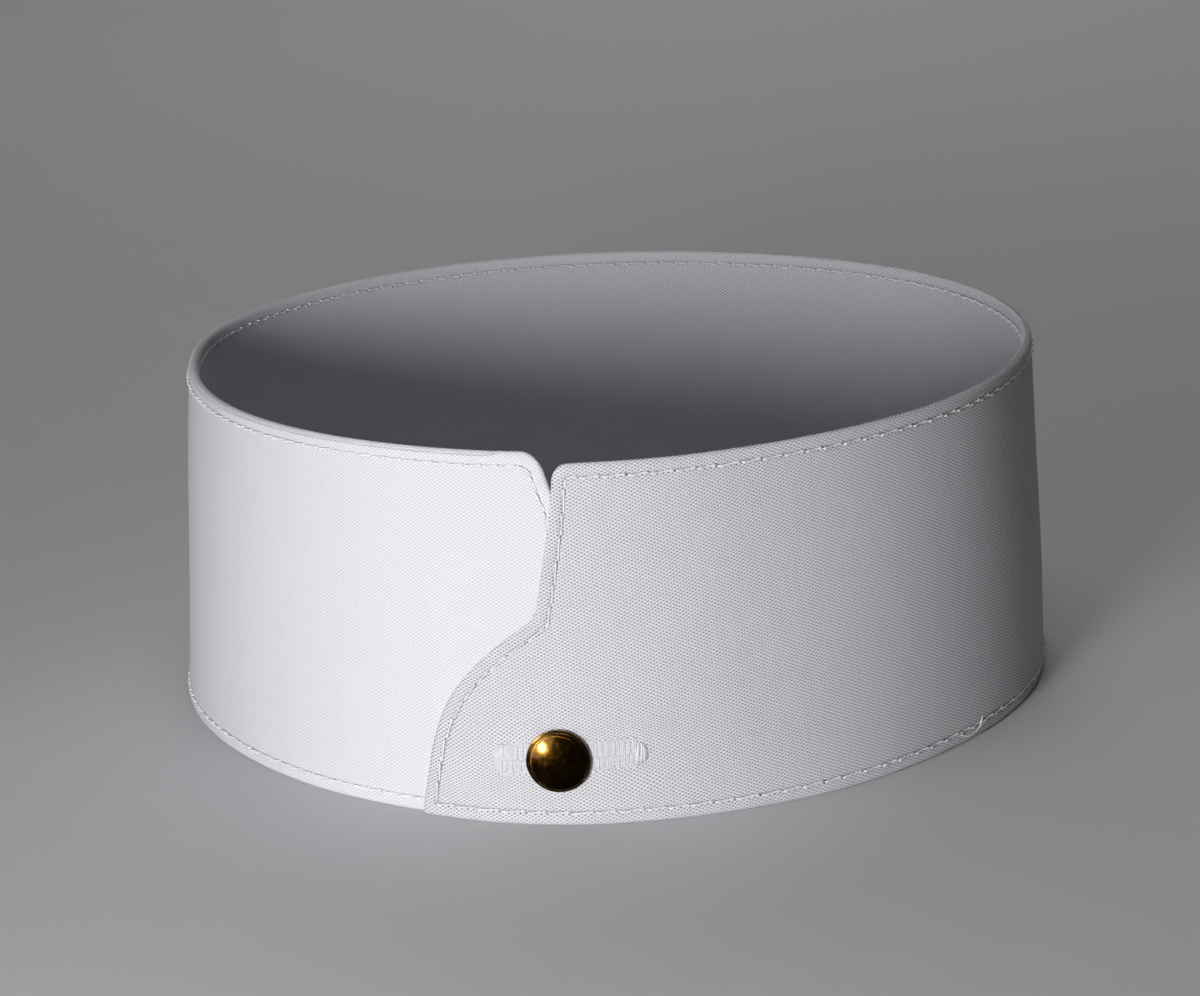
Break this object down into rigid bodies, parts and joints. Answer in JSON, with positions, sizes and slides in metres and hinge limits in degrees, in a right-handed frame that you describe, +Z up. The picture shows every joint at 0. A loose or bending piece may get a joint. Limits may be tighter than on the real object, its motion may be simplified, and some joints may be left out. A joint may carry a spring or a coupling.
{
  "type": "detachable shirt collar",
  "caption": "Tall stand-up detachable shirt collar of starched white cotton, closed in a ring by a brass collar stud through its lapped, shaped front ends.",
  "frame": {"origin": "middle of the ring's width and depth, on the plane of the bottom edge it stands on", "axes": "+Z up from the bottom edge to the top edge, -Y towards the centre front and its stud, +X towards the wearer's left"},
  "size_m": [0.1308, 0.1252, 0.0522],
  "materials": {
    "cotton_outer": "starched plain-weave white cotton",
    "cotton_inner": "starched plain-weave white cotton",
    "brass": "polished, lightly worn"
  },
  "bodies": {
    "root": {"collar_outer_ply": "cotton_outer", "collar_inner_ply": "cotton_inner", "stud_cap": "brass", "stud_shank": "brass"}
  },
  "joints": []
}
